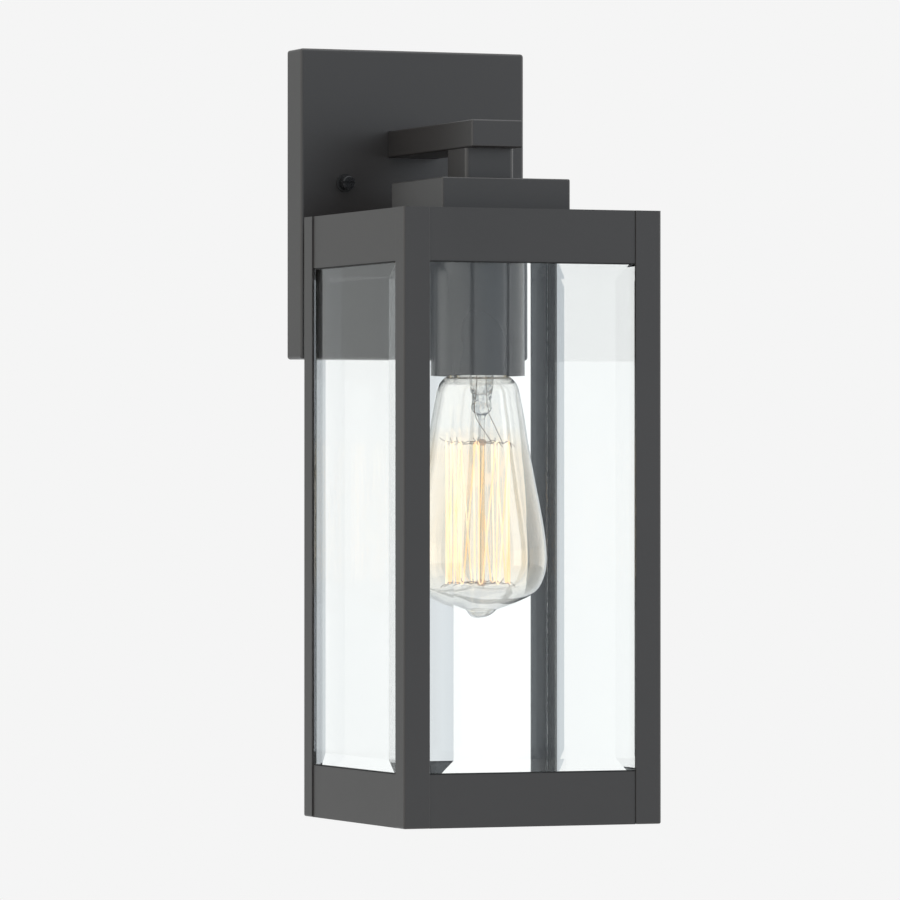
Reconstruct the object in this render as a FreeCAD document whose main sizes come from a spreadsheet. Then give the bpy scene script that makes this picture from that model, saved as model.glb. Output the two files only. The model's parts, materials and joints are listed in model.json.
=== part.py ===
import FreeCAD, Part
import Sketcher
import math
import os

# Outdoor wall lantern: a square cage of four corner posts and bevelled glass, hung from a wall arm.
# Millimetres, +Z up, the front faces -Y. The wall is the plane y = 0, and the origin is the centre of the
# outlet box, midway between the two nuts that hold the backplate.

DOC = FreeCAD.newDocument("wall_lantern")
SHEET = DOC.addObject("Spreadsheet::Sheet", "Sizes")

SIZES = {
    # backplate
    "plate_width": 114.3,
    "plate_height": 147.0,
    "plate_depth": 18.0,
    "plate_above": 63.5,          # top edge above the outlet box's centre
    "plate_wall": 1.2,
    "plate_round": 1.5,
    "gasket_width": 4.5,
    "gasket_thick": 4.0,
    # mounting strap, studs and nuts
    "strap_end": 1.35,            # metal left beyond each slot
    "strap_width": 15.0,
    "strap_thick": 2.0,
    "box_screw_spacing": 88.9,
    "slot_width": 4.8,
    "slot_length": 10.0,
    "stud_spacing": 69.85,
    "stud_radius": 2.08,
    "hex_across": 8.7,
    "hex_thick": 3.0,
    "washer_radius": 4.3,
    "washer_thick": 0.8,
    "nut_radius": 3.2,
    "nut_length": 5.4,
    "nut_end_wall": 1.6,
    "nut_round": 0.7,
    "stud_end_gap": 0.4,          # between a stud's end and the nut's blind end
    "driver_slot_width": 1.1,
    "driver_slot_depth": 1.0,
    "ground_wire_room": 1.0,      # bare shank between the strap and the screw's collar
    "ground_collar": 1.0,
    "ground_head": 2.5,
    "ground_across": 6.09,
    # arm, neck and cap
    "arm_width": 25.4,
    "arm_height": 12.7,
    "arm_wall": 1.5,
    "arm_round": 0.9,
    "arm_bottom": 12.4,
    "arm_nose": 20.9,             # the arm's end beyond the lamp's axis
    "doubler_thick": 2.0,
    "doubler_margin": 7.0,
    "neck_side": 24.0,
    "neck_height": 14.6,
    "neck_wall": 1.5,
    "neck_round": 2.0,
    "cap_side": 63.5,
    "cap_height": 15.4,
    "cap_wall": 1.2,
    "cap_round": 0.8,
    # cage
    "cage_side": 127.0,
    "cage_height": 280.8,
    "cage_gap": 38.1,             # wall to the back of the cage
    "post_leg": 12.7,             # on the front, and on the back at the right
    "post_side_leg": 10.7,        # on the left and the right
    "post_short_leg": 8.7,        # on the back at the left
    "post_thick": 1.5,
    "post_round": 1.1,
    "post_inner_round": 0.4,
    "post_edge_round": 0.3,       # along the free edge of each leg
    "post_end_round": 0.9,        # outer edges at the lower end
    "rail_height": 24.2,
    "rail_thick": 0.8,
    "rail_lip": 8.0,
    "roof_thick": 1.5,
    "roof_corner": 1.0,
    # glass and what holds it
    "glass_thick": 4.0,
    "glass_edge": 2.4,            # thickness left at the edge of the bevel
    "glass_gap": 0.2,             # between one pane's edge and the next pane's face
    "glass_end_gap": 1.8,         # between a pane's other edge and the post
    "bevel_width": 19.05,
    "glass_into_top": 11.4,       # how far the glass reaches behind each rail
    "glass_into_bottom": 12.8,
    "clip_thick": 0.8,
    "clip_lip": 4.0,
    "clip_leg": 6.0,
    "clip_width": 12.0,
    "clip_spacing": 60.0,
    # nipple, socket cover and lampholder
    "nipple_radius": 5.15,
    "nipple_bore": 3.6,
    "nipple_above": 3.6,          # stands this far above the arm's bottom wall
    "nipple_nut_across": 14.0,
    "nipple_nut_thick": 3.0,
    "thread_gap": 0.05,
    "hole_gap": 0.25,
    "cover_wall": 1.0,
    "cover_length": 73.5,
    "holder_gap": 1.8,            # lampholder to the inside of its cover
    "holder_wall": 2.7,
    "holder_length": 43.6,
    "holder_up": 1.0,             # lampholder's rim above the cover's rim
    "bore_above_shell": 6.626,
    "bracket_thick": 1.5,
    "bracket_edge": 0.7,          # metal left outside the screws' heads
    "collar_wall": 2.4,
    "collar_height": 5.0,
    "nipple_seat": 0.5,           # ledge that the nipple's end stands on
    "recess_step": 0.6,           # recess wider than the nipple's bore
    "recess_depth": 6.0,
    "bracket_screw_radius": 1.5,
    "bracket_screw_length": 6.0,
    "bracket_head_radius": 2.7,
    "bracket_head_height": 1.7,
    "bracket_head_gap": 0.3,
    "bracket_hole_spare": 0.5,    # screw hole deeper than the screw
    "tongue_width": 6.0,
    "tongue_thick": 0.5,
    "tongue_drop": 3.0,           # bore's end to the lamp's contact
    "tongue_gap": 0.1,
    "tongue_foot_end": 11.0,      # along the bore's end, from the lamp's axis
    "tongue_foot_bend": 6.5,
    "tongue_leaf_bend": 2.5,
    "tongue_leaf_end": 4.0,
    # bulb
    "thread_pitch": 3.629,
    "thread_depth": 0.7,
    "thread_crest": 13.0,
    "thread_turns": 6.0,
    "shell_wall": 0.35,
    "shell_gap": 0.12,            # lamp's thread to the lampholder's
    "shell_seat": 0.33,           # lampholder's thread to its bore
    "shell_rim": 1.2,             # shell's lower end above the lampholder's rim
    "contact_radius": 4.8,
    "contact_shoulder": 4.2,
    "contact_face": 2.8,
    "contact_height": 1.0,
    "insulator_height": 2.8,
    "insulator_plug": 1.0,        # depth of the part inside the shell
    "insulator_rim_gap": 0.1,
    "insulator_crown": 4.0,       # its sloping rim stops this far outside the contact
    "insulator_crown_drop": 0.8,
    "bulb_length": 140.0,
    "bulb_radius": 30.2,
    "bulb_shoulder": 15.3,
    "bulb_glass_wall": 0.8,
    "neck_gap": 0.45,             # glass neck to the inside of the base
    "neck_start": 17.0,           # contact to the top of the glass neck, inside the base
    "neck_end": 25.8,             # contact to where the neck flares
    "bulb_tip": 3.1,              # height of the sealed tip
    "stem_radius": 5.4,
    "stem_wall": 1.0,
    "stem_flare": 7.0,            # height of the flare that seals it to the neck
    "stem_length": 31.0,
    "press_length": 12.0,
    "rod_radius": 1.6,
    "filament_radius": 12.2,
    "filament_wire": 0.2,
    "filament_top": 58.5,         # contact to the upper hooks
    "filament_drop": 65.0,        # upper hooks to the lower hooks
    "filament_strands": 18.0,
    "hook_wire": 0.25,
    "wire_gap": 0.1,
    "bulb_lead_wire": 0.35,
    "bulb_lead_apart": 4.4,       # between the lead wires inside the stem
    # leads
    "lead_radius": 1.1,
    "lead_pitch": 2.6,
    "connector_radius": 5.2,
    "connector_length": 16.0,
    "connector_end_radius": 3.224,
    "connector_lip": 2.0,
    "connector_mouth_taper": 0.416,
    "connector_bore_share": 0.55, # how much of its length the lead goes in
}


class Size:
    """A length that knows its number and its formula in the sheet, so a shape can be bound to it."""

    def __init__(self, formula, number):
        self.formula = formula
        self.number = number

    def join(self, sign, other, number):
        return Size(f"({self.formula} {sign} {formula_of(other)})", number)

    def __add__(self, other):
        return self.join("+", other, self.number + number_of(other))

    def __sub__(self, other):
        return self.join("-", other, self.number - number_of(other))

    def __mul__(self, other):
        return self.join("*", other, self.number * number_of(other))

    def __truediv__(self, other):
        return self.join("/", other, self.number / number_of(other))

    def __neg__(self):
        return Size(f"(0 - {self.formula})", -self.number)


def number_of(value):
    return value.number if isinstance(value, Size) else float(value)


def formula_of(value):
    return value.formula if isinstance(value, Size) else repr(float(value))


class Sizes:
    """Every driving dimension as a Size read from the sheet: d.plate_width and so on."""


def fill_sheet():
    for row, (name, number) in enumerate(SIZES.items(), start=1):
        SHEET.set(f"A{row}", name)
        SHEET.set(f"B{row}", repr(number))
        SHEET.setAlias(f"B{row}", name)
    DOC.recompute()
    sizes = Sizes()
    for name in SIZES:
        setattr(sizes, name, Size(f"Sizes.{name}", float(SHEET.get(name))))
    return sizes


d = fill_sheet()
SUBPARTS = []


# ---------------------------------------------------------------- helpers

def bind(thing, prop, value):
    """Tie a property to its formula in the sheet."""
    thing.setExpression(prop, formula_of(value))


def place(thing, x=0.0, y=0.0, z=0.0, turn=0.0, axis=(0, 0, 1)):
    where = FreeCAD.Vector(number_of(x), number_of(y), number_of(z))
    thing.Placement = FreeCAD.Placement(where, FreeCAD.Rotation(FreeCAD.Vector(*axis), turn))
    for prop, value in (("x", x), ("y", y), ("z", z)):
        if isinstance(value, Size):
            bind(thing, f"Placement.Base.{prop}", value)
    return thing


def keep(thing, name):
    """Mark a finished sub-part: its label names its file."""
    thing.Label = name
    SUBPARTS.append(thing)
    return thing


def cylinder(name, radius, height, x=0.0, y=0.0, z=0.0, along="z"):
    """A cylinder that starts at a point and runs along +Z, or along -Y for along="y"."""
    thing = DOC.addObject("Part::Cylinder", name)
    bind(thing, "Radius", radius)
    bind(thing, "Height", height)
    turn, axis = (90.0, (1, 0, 0)) if along == "y" else (0.0, (0, 0, 1))
    return place(thing, x, y, z, turn, axis)


def hex_prism(name, across, height, x=0.0, y=0.0, z=0.0, along="z"):
    thing = DOC.addObject("Part::Prism", name)
    thing.Polygon = 6
    bind(thing, "Circumradius", across / math.sqrt(3.0))
    bind(thing, "Height", height)
    turn, axis = (90.0, (1, 0, 0)) if along == "y" else (0.0, (0, 0, 1))
    return place(thing, x, y, z, turn, axis)


def cut(name, base, *tools):
    for number, tool in enumerate(tools, start=1):
        thing = DOC.addObject("Part::Cut", f"{name}_cut{number}")
        thing.Base = base
        thing.Tool = tool
        base = thing
    return base


def fuse(name, *pieces):
    thing = DOC.addObject("Part::MultiFuse", name)
    thing.Shapes = list(pieces)
    thing.Refine = True
    return thing


def group(name, pieces):
    """Separate identical solids kept together in one sub-part."""
    thing = DOC.addObject("Part::Compound", name)
    thing.Links = list(pieces)
    return keep(thing, name)


def body(name):
    return DOC.addObject("PartDesign::Body", f"{name}_body")


def origin_plane(owner, role):
    return next(item for item in owner.Origin.OriginFeatures if item.Role == role)


def sketch(owner, role, lift=None):
    """A sketch on one of the body's own origin planes, lifted along the plane's normal."""
    thing = owner.newObject("Sketcher::SketchObject", f"{owner.Name}_sketch")
    thing.AttachmentSupport = [(origin_plane(owner, role), "")]
    thing.MapMode = "FlatFace"
    if lift is not None:
        bind(thing, "AttachmentOffset.Base.z", lift)
    return thing


def fix_point(thing, geometry, end, x, y):
    """Tie a vertex to its two coordinates from the sketch's origin."""
    for kind, value in (("DistanceX", x), ("DistanceY", y)):
        number = thing.addConstraint(Sketcher.Constraint(kind, -1, 1, geometry, end, number_of(value)))
        if isinstance(value, Size):
            thing.setExpression(f"Constraints[{number}]", value.formula)


def coincident(first, first_end, second, second_end):
    return Sketcher.Constraint("Coincident", first, first_end, second, second_end)


def add_polygon(thing, points):
    """A closed outline through points, each an (x, y) of sizes."""
    start = thing.GeometryCount
    corners = [FreeCAD.Vector(number_of(x), number_of(y), 0) for x, y in points]
    count = len(corners)
    for index in range(count):
        thing.addGeometry(Part.LineSegment(corners[index], corners[(index + 1) % count]), False)
    for index in range(count):
        thing.addConstraint(coincident(start + index, 2, start + (index + 1) % count, 1))
    for index, (x, y) in enumerate(points):
        fix_point(thing, start + index, 1, x, y)


def add_rectangle(thing, x0, y0, x1, y1):
    add_polygon(thing, [(x0, y0), (x1, y0), (x1, y1), (x0, y1)])


def add_circle(thing, x, y, radius):
    centre = FreeCAD.Vector(number_of(x), number_of(y), 0)
    index = thing.addGeometry(Part.Circle(centre, FreeCAD.Vector(0, 0, 1), number_of(radius)), False)
    fix_point(thing, index, 3, x, y)
    number = thing.addConstraint(Sketcher.Constraint("Radius", index, number_of(radius)))
    if isinstance(radius, Size):
        thing.setExpression(f"Constraints[{number}]", radius.formula)


def pad(owner, profile, length, symmetric=False, reverse=False):
    thing = owner.newObject("PartDesign::Pad", f"{owner.Name}_pad")
    thing.Profile = profile
    bind(thing, "Length", length)
    thing.SideType = "Symmetric" if symmetric else "One side"
    thing.Reversed = reverse
    DOC.recompute()
    return thing


def pocket(owner, profile, length, reverse=False):
    """A pocket that must take material away."""
    before = owner.Shape.Volume
    thing = owner.newObject("PartDesign::Pocket", f"{owner.Name}_pocket")
    thing.Profile = profile
    bind(thing, "Length", length)
    thing.Reversed = reverse
    DOC.recompute()
    if not owner.Shape.Volume < before:
        raise RuntimeError(f"{thing.Name} cuts nothing")
    return thing


def revolve(owner, profile):
    """Turn a profile drawn on the XZ plane about the sketch's vertical axis."""
    thing = owner.newObject("PartDesign::Revolution", f"{owner.Name}_revolution")
    thing.Profile = profile
    thing.ReferenceAxis = (profile, ["V_Axis"])
    thing.Angle = 360
    DOC.recompute()
    return thing


def edges_where(thing, wanted):
    """Names of the edges whose middle point and direction satisfy a test."""
    names = []
    for number, edge in enumerate(thing.Shape.Edges, start=1):
        middle = edge.valueAt((edge.FirstParameter + edge.LastParameter) / 2)
        along = edge.tangentAt((edge.FirstParameter + edge.LastParameter) / 2)
        if wanted(middle, along):
            names.append(f"Edge{number}")
    if not names:
        raise RuntimeError(f"no edge of {thing.Name} passes the test")
    return names


def fillet(owner, wanted, radius):
    base = owner.Tip
    thing = owner.newObject("PartDesign::Fillet", f"{owner.Name}_fillet")
    thing.Base = (base, edges_where(base, wanted))
    bind(thing, "Radius", radius)
    DOC.recompute()
    return thing


def near(a, b):
    return abs(a - number_of(b)) < 1e-4


def upright(along):
    return abs(along.z) > 0.99


def lathe(name, points, x=0.0, y=0.0):
    """A turned piece: its outline is a list of (radius, height)."""
    owner = body(name)
    profile = sketch(owner, "XZ_Plane")
    add_polygon(profile, points)
    revolve(owner, profile)
    return place(owner, x, y)


def set_shape(name, shape, y=0.0, turn=0.0):
    thing = DOC.addObject("Part::Feature", name)
    thing.Shape = shape
    place(thing, 0.0, y, 0.0, turn)
    return keep(thing, name)


# ---------------------------------------------------------------- shared places

plate_left = -d.plate_width / 2
plate_right = d.plate_width / 2
plate_bottom = d.plate_above - d.plate_height
plate_front = -d.plate_depth
plate_inside = d.plate_wall - d.plate_depth

axis_y = -(d.cage_gap + d.cage_side / 2)      # the lamp's axis
cap_top = d.arm_bottom - d.neck_height
cage_top = cap_top - d.cap_height
cage_bottom = cage_top - d.cage_height
cage_half = d.cage_side / 2
inner_half = cage_half - d.post_thick         # inner faces of posts and rails
glass_inner = inner_half - d.glass_thick
glass_top = cage_top - d.rail_height + d.glass_into_top
glass_bottom = cage_bottom + d.rail_height - d.glass_into_bottom

roof_bottom = cage_top - d.roof_thick
cover_bottom = roof_bottom - d.cover_length
holder_bottom = cover_bottom + d.holder_up
holder_top = holder_bottom + d.holder_length
shell_bottom = holder_bottom + d.shell_rim
bore_top = shell_bottom + d.thread_turns * d.thread_pitch + d.bore_above_shell
bracket_top = holder_top + d.bracket_thick
contact_top = bore_top - d.tongue_drop        # the lamp's end presses the tongue here
base_top = contact_top - d.contact_height - d.insulator_height
bulb_bottom = contact_top - d.bulb_length
stem_flare_top = contact_top - d.neck_start - d.stem_wall
stem_end = contact_top - d.stem_length
press_end = stem_end - d.press_length
hooks_upper = contact_top - d.filament_top
hooks_lower = hooks_upper - d.filament_drop
nipple_top = d.arm_bottom + d.arm_wall + d.nipple_above
nipple_bottom = bracket_top + d.nipple_seat

nipple_hole = d.nipple_radius + d.hole_gap
nipple_thread = d.nipple_radius + d.thread_gap
stud_hole = d.stud_radius + d.hole_gap
stud_thread = d.stud_radius + d.thread_gap
shell_crest = d.thread_crest + d.shell_gap + d.thread_depth
holder_bore = shell_crest + d.shell_wall + d.shell_seat
holder_radius = holder_bore + d.holder_wall
cover_radius = holder_radius + d.holder_gap + d.cover_wall
bulb_neck = d.thread_crest - d.thread_depth - d.shell_wall - d.neck_gap
recess_radius = d.nipple_bore + d.recess_step
collar_radius = nipple_thread + d.collar_wall
bracket_screw_offset = collar_radius + d.bracket_head_radius + d.bracket_head_gap
bracket_radius = bracket_screw_offset + d.bracket_head_radius + d.bracket_edge
arm_reach = d.arm_nose - axis_y
plate_back = plate_inside + d.doubler_thick   # rear face of the doubler, where the arm's tube starts

CORNERS = ("front_left", "front_right", "back_right", "back_left")
SIDES = ("front", "right", "back", "left")

# The widths of the two post legs on each side, in the order of the corners that the side runs between.
LEGS = {
    "front": (d.post_leg, d.post_leg),
    "right": (d.post_side_leg, d.post_side_leg),
    "back": (d.post_leg, d.post_short_leg),
    "left": (d.post_side_leg, d.post_side_leg),
}
RIDGE_POINTS = 8                              # points to one turn of a ridged wall


def on_axis(thing, turn=0.0):
    """Put a piece that was drawn about the lamp's axis where that axis is."""
    return place(thing, 0.0, axis_y, 0.0, turn)


# ---------------------------------------------------------------- backplate and wall fixings

def make_backplate():
    owner = body("backplate")
    outline = sketch(owner, "XZ_Plane")
    add_rectangle(outline, plate_left, plate_bottom, plate_right, d.plate_above)
    pad(owner, outline, d.plate_depth)
    fillet(owner, lambda middle, along: not near(middle.y, 0), d.plate_round)
    hollow = sketch(owner, "XZ_Plane")
    wall = d.plate_wall
    add_rectangle(hollow, plate_left + wall, plate_bottom + wall, plate_right - wall, d.plate_above - wall)
    pocket(owner, hollow, d.plate_depth - wall, reverse=True)
    holes = sketch(owner, "XZ_Plane")
    for side in (-1, 1):
        add_circle(holes, d.stud_spacing / 2 * side, 0.0, stud_hole)
    add_arm_window(holes)
    pocket(owner, holes, d.plate_depth, reverse=True)
    keep(owner, "backplate")


def add_arm_window(thing):
    half = d.arm_width / 2 + d.thread_gap
    low = d.arm_bottom - d.thread_gap
    add_rectangle(thing, -half, low, half, low + d.arm_height + d.thread_gap * 2)


def make_gasket():
    owner = body("gasket")
    ring = sketch(owner, "XZ_Plane")
    wall = d.plate_wall
    inner = d.plate_wall + d.gasket_width
    add_rectangle(ring, plate_left + wall, plate_bottom + wall, plate_right - wall, d.plate_above - wall)
    add_rectangle(ring, plate_left + inner, plate_bottom + inner, plate_right - inner, d.plate_above - inner)
    pad(owner, ring, d.gasket_thick)
    keep(owner, "wall_gasket")


def make_strap():
    owner = body("mounting_strap")
    outline = sketch(owner, "XZ_Plane")
    half = d.box_screw_spacing / 2 + d.slot_length / 2 + d.strap_end
    add_rectangle(outline, -half, -d.strap_width / 2, half, d.strap_width / 2)
    pad(owner, outline, d.strap_thick)
    holes = sketch(owner, "XZ_Plane")
    for side in (-1, 1):
        add_circle(holes, d.stud_spacing / 2 * side, 0.0, stud_thread)
        add_slot(holes, d.box_screw_spacing / 2 * side)
    add_circle(holes, d.stud_spacing / 4, 0.0, stud_thread)
    add_circle(holes, 0.0, 0.0, d.nipple_radius)
    pocket(owner, holes, d.strap_thick, reverse=True)
    keep(owner, "mounting_strap")


def add_slot(thing, middle):
    """A slot along X with round ends, centred on a point of the sketch's horizontal axis."""
    reach = (d.slot_length - d.slot_width) / 2
    radius = d.slot_width / 2
    centre, run, half = number_of(middle), number_of(reach), number_of(radius)
    start = thing.GeometryCount
    up = FreeCAD.Vector(0, 0, 1)
    left = Part.Circle(FreeCAD.Vector(centre - run, 0, 0), up, half)
    right = Part.Circle(FreeCAD.Vector(centre + run, 0, 0), up, half)
    thing.addGeometry(Part.ArcOfCircle(left, math.pi / 2, math.pi * 1.5), False)
    thing.addGeometry(Part.ArcOfCircle(right, -math.pi / 2, math.pi / 2), False)
    low = [FreeCAD.Vector(centre - run, -half, 0), FreeCAD.Vector(centre + run, -half, 0)]
    high = [FreeCAD.Vector(centre + run, half, 0), FreeCAD.Vector(centre - run, half, 0)]
    thing.addGeometry(Part.LineSegment(*low), False)
    thing.addGeometry(Part.LineSegment(*high), False)
    for first, first_end, second, second_end in ((0, 2, 2, 1), (2, 2, 1, 1), (1, 2, 3, 1), (3, 2, 0, 1)):
        join = Sketcher.Constraint("Tangent", start + first, first_end, start + second, second_end)
        thing.addConstraint(join)
    fix_point(thing, start, 3, middle - reach, 0.0)
    fix_point(thing, start + 1, 3, middle + reach, 0.0)
    number = thing.addConstraint(Sketcher.Constraint("Radius", start, half))
    thing.setExpression(f"Constraints[{number}]", radius.formula)


def make_wall_fixings():
    studs, lock_nuts, washers, nuts = [], [], [], []
    reach = d.plate_depth + d.washer_thick + d.nut_length - d.nut_end_wall - d.stud_end_gap
    for side, word in ((-1, "left"), (1, "right")):
        x = d.stud_spacing / 2 * side
        strap = (x, -d.strap_thick, 0.0, "y")
        front = (x, plate_front, 0.0, "y")
        studs.append(cylinder(f"stud_{word}", d.stud_radius, reach, x=x, along="y"))
        blank = hex_prism(f"hex_{word}", d.hex_across, d.hex_thick, *strap)
        bore = cylinder(f"hex_bore_{word}", stud_thread, d.hex_thick, *strap)
        lock_nuts.append(cut(f"hex_nut_{word}", blank, bore))
        disc = cylinder(f"washer_disc_{word}", d.washer_radius, d.washer_thick, *front)
        hole = cylinder(f"washer_hole_{word}", stud_hole, d.washer_thick, *front)
        washers.append(cut(f"washer_{word}", disc, hole))
        nuts.append(place(make_cap_nut(word), x, plate_front - d.washer_thick, 0.0))
    group("mounting_studs", studs)
    group("stud_lock_nuts", lock_nuts)
    group("nut_washers", washers)
    group("cap_nuts", nuts)


def make_cap_nut(word):
    """A round nut, blind at its outer end, with a driver slot across that end."""
    owner = body(f"cap_nut_{word}")
    outline = sketch(owner, "XZ_Plane")
    add_circle(outline, 0.0, 0.0, d.nut_radius)
    pad(owner, outline, d.nut_length)
    fillet(owner, lambda middle, along: near(middle.y, -d.nut_length), d.nut_round)
    bore = sketch(owner, "XZ_Plane")
    add_circle(bore, 0.0, 0.0, stud_thread)
    pocket(owner, bore, d.nut_length - d.nut_end_wall, reverse=True)
    slot = sketch(owner, "XZ_Plane", lift=d.nut_length)
    half = d.driver_slot_width / 2
    add_rectangle(slot, -d.nut_radius, -half, d.nut_radius, half)
    pocket(owner, slot, d.driver_slot_depth)
    return owner


def make_ground_screw():
    """A green hex-head screw, in the strap's tapped hole."""
    x = d.stud_spacing / 4
    seat = d.strap_thick + d.ground_wire_room
    shank = cylinder("ground_shank", d.stud_radius, seat, x=x, along="y")
    collar = cylinder("ground_collar", d.nut_radius, d.ground_collar, x, -seat, 0.0, "y")
    head = hex_prism("ground_head", d.ground_across, d.ground_head, x, -seat - d.ground_collar, 0.0, "y")
    keep(fuse("ground_screw_whole", shank, collar, head), "ground_screw")


# ---------------------------------------------------------------- arm, neck and cap

def make_arm():
    owner = body("arm")
    section = sketch(owner, "XZ_Plane", lift=-plate_back)
    add_arm_section(section, 0.0)
    pad(owner, section, arm_reach + plate_back)
    fillet(owner, lambda middle, along: not near(middle.y, plate_back), d.arm_round)
    hollow = sketch(owner, "XZ_Plane", lift=-plate_back)
    add_arm_section(hollow, d.arm_wall)
    pocket(owner, hollow, arm_reach + plate_back - d.arm_wall, reverse=True)
    hole = sketch(owner, "XY_Plane", lift=d.arm_bottom)
    add_circle(hole, 0.0, axis_y, nipple_hole)
    pocket(owner, hole, d.arm_wall, reverse=True)
    keep(owner, "arm")


def add_arm_section(thing, wall):
    half = d.arm_width / 2 - wall
    low = d.arm_bottom + wall
    high = d.arm_bottom + d.arm_height - wall
    add_rectangle(thing, -half, low, half, high)


def make_arm_doubler():
    owner = body("arm_doubler")
    outline = sketch(owner, "XZ_Plane", lift=-plate_back)
    half = d.arm_width / 2 + d.doubler_margin
    low = d.arm_bottom - d.doubler_margin
    add_rectangle(outline, -half, low, half, d.arm_bottom + d.arm_height + d.doubler_margin)
    add_arm_window(outline)
    pad(owner, outline, d.doubler_thick)
    keep(owner, "arm_doubler")


def make_neck():
    owner = body("neck")
    section = sketch(owner, "XY_Plane", lift=cap_top)
    half = d.neck_side / 2
    add_rectangle(section, -half, -half, half, half)
    pad(owner, section, d.neck_height)
    fillet(owner, lambda middle, along: upright(along), d.neck_round)
    hollow = sketch(owner, "XY_Plane", lift=cap_top)
    inner = half - d.neck_wall
    add_rectangle(hollow, -inner, -inner, inner, inner)
    pocket(owner, hollow, d.neck_height, reverse=True)
    keep(on_axis(owner), "neck")


def make_cap():
    owner = body("cap")
    base = sketch(owner, "XY_Plane", lift=cage_top)
    half = d.cap_side / 2
    add_rectangle(base, -half, -half, half, half)
    pad(owner, base, d.cap_height)
    fillet(owner, lambda middle, along: not near(middle.z, cage_top), d.cap_round)
    hollow = sketch(owner, "XY_Plane", lift=cage_top)
    inner = half - d.cap_wall
    add_rectangle(hollow, -inner, -inner, inner, inner)
    pocket(owner, hollow, d.cap_height - d.cap_wall, reverse=True)
    hole = sketch(owner, "XY_Plane", lift=cage_top)
    add_circle(hole, 0.0, 0.0, nipple_hole)
    pocket(owner, hole, d.cap_height, reverse=True)
    keep(on_axis(owner), "cap")


# ---------------------------------------------------------------- cage

def make_roof():
    owner = body("roof_plate")
    outline = sketch(owner, "XY_Plane", lift=roof_bottom)
    add_rectangle(outline, -inner_half, -inner_half, inner_half, inner_half)
    add_circle(outline, 0.0, 0.0, nipple_hole)
    pad(owner, outline, d.roof_thick)
    fillet(owner, lambda middle, along: upright(along) and near(abs(middle.x), inner_half), d.roof_corner)
    keep(on_axis(owner), "roof_plate")


def make_posts():
    outer = -cage_half
    inner = -inner_half
    for turn, name in enumerate(CORNERS):
        along = LEGS[SIDES[turn]][0] - cage_half
        across = LEGS[SIDES[turn - 1]][1] - cage_half
        corners = [
            (outer, outer), (along, outer), (along, inner), (inner, inner), (inner, across), (outer, across),
        ]
        owner = body(f"post_{name}")
        section = sketch(owner, "XY_Plane", lift=cage_bottom)
        add_polygon(section, corners)
        pad(owner, section, d.cage_height)
        fillet(owner, at_corner(outer), d.post_round)
        fillet(owner, at_corner(inner), d.post_inner_round)
        fillet(owner, at_leg_edge(along, across), d.post_edge_round)
        fillet(owner, at_outer_end(inner), d.post_end_round)
        keep(on_axis(owner, turn * 90.0), f"post_{name}")


def at_leg_edge(along, across):
    """The outer one of the two upright edges at the end of each leg."""
    def wanted(middle, direction):
        first = near(middle.x, along) and near(middle.y, -cage_half)
        second = near(middle.y, across) and near(middle.x, -cage_half)
        return upright(direction) and (first or second)
    return wanted


def at_outer_end(inner):
    """The edges round the outside of a post's lower end."""
    def wanted(middle, along):
        outside = middle.x < number_of(inner) and not near(middle.x, inner)
        front = middle.y < number_of(inner) and not near(middle.y, inner)
        on_face = near(middle.x, -cage_half) or near(middle.y, -cage_half) or (outside and front)
        return near(middle.z, cage_bottom) and on_face
    return wanted


def at_corner(offset):
    def wanted(middle, along):
        return upright(along) and near(middle.x, offset) and near(middle.y, offset)
    return wanted


def make_rails():
    """Top and bottom rails: a strip set back from the posts' faces, with a lip turned into the cage."""
    strip_out = d.rail_thick + inner_half
    lip_in = inner_half - d.rail_lip
    for turn, side in enumerate(SIDES):
        first_leg, last_leg = LEGS[side]
        for level in ("top", "bottom"):
            if level == "top":
                edge, lip, far = roof_bottom, roof_bottom - d.rail_thick, cage_top
                outline = [
                    (-strip_out, far), (-strip_out, far - d.rail_height), (-inner_half, far - d.rail_height),
                    (-inner_half, lip), (-lip_in, lip), (-lip_in, edge), (-inner_half, edge),
                    (-inner_half, far),
                ]
            else:
                lip, far = cage_bottom + d.rail_thick, cage_bottom
                outline = [
                    (-strip_out, far), (-lip_in, far), (-lip_in, lip), (-inner_half, lip),
                    (-inner_half, far + d.rail_height), (-strip_out, far + d.rail_height),
                ]
            owner = body(f"rail_{level}_{side}")
            section = sketch(owner, "YZ_Plane", lift=first_leg - cage_half)
            add_polygon(section, outline)
            pad(owner, section, d.cage_side - first_leg - last_leg)
            keep(on_axis(owner, turn * 90.0), f"rail_{level}_{side}")


def make_glass():
    """Four panes, each with one edge against the next pane's face, so they lap round the cage."""
    left = d.glass_gap - glass_inner
    right = inner_half - d.glass_end_gap
    for turn, side in enumerate(SIDES):
        owner = body(f"glass_{side}")
        outline = sketch(owner, "XZ_Plane", lift=glass_inner)
        add_rectangle(outline, left, glass_bottom, right, glass_top)
        pad(owner, outline, d.glass_thick)
        base = owner.Tip
        bevel = owner.newObject("PartDesign::Chamfer", f"bevel_{side}")
        bevel.Base = (base, edges_where(base, lambda middle, along: near(middle.y, -inner_half)))
        bevel.ChamferType = "Two distances"
        bind(bevel, "Size", d.bevel_width)
        bind(bevel, "Size2", d.glass_thick - d.glass_edge)
        bevel.FlipDirection = True
        DOC.recompute()
        keep(on_axis(owner, turn * 90.0), f"glass_{side}")


def clip_outline(seat, way):
    """A strip bent round one edge of the glass. way is +1 at the top edge and -1 at the bottom."""
    thick = d.clip_thick * way
    leg = d.clip_leg * way
    lip = d.clip_lip * way
    back = glass_inner - d.glass_gap
    return [
        (-inner_half, seat), (-inner_half, seat + leg), (d.clip_thick - inner_half, seat + leg),
        (d.clip_thick - inner_half, seat + thick), (d.clip_thick - back, seat + thick),
        (d.clip_thick - back, seat - lip), (-back, seat - lip), (-back, seat),
    ]


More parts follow.
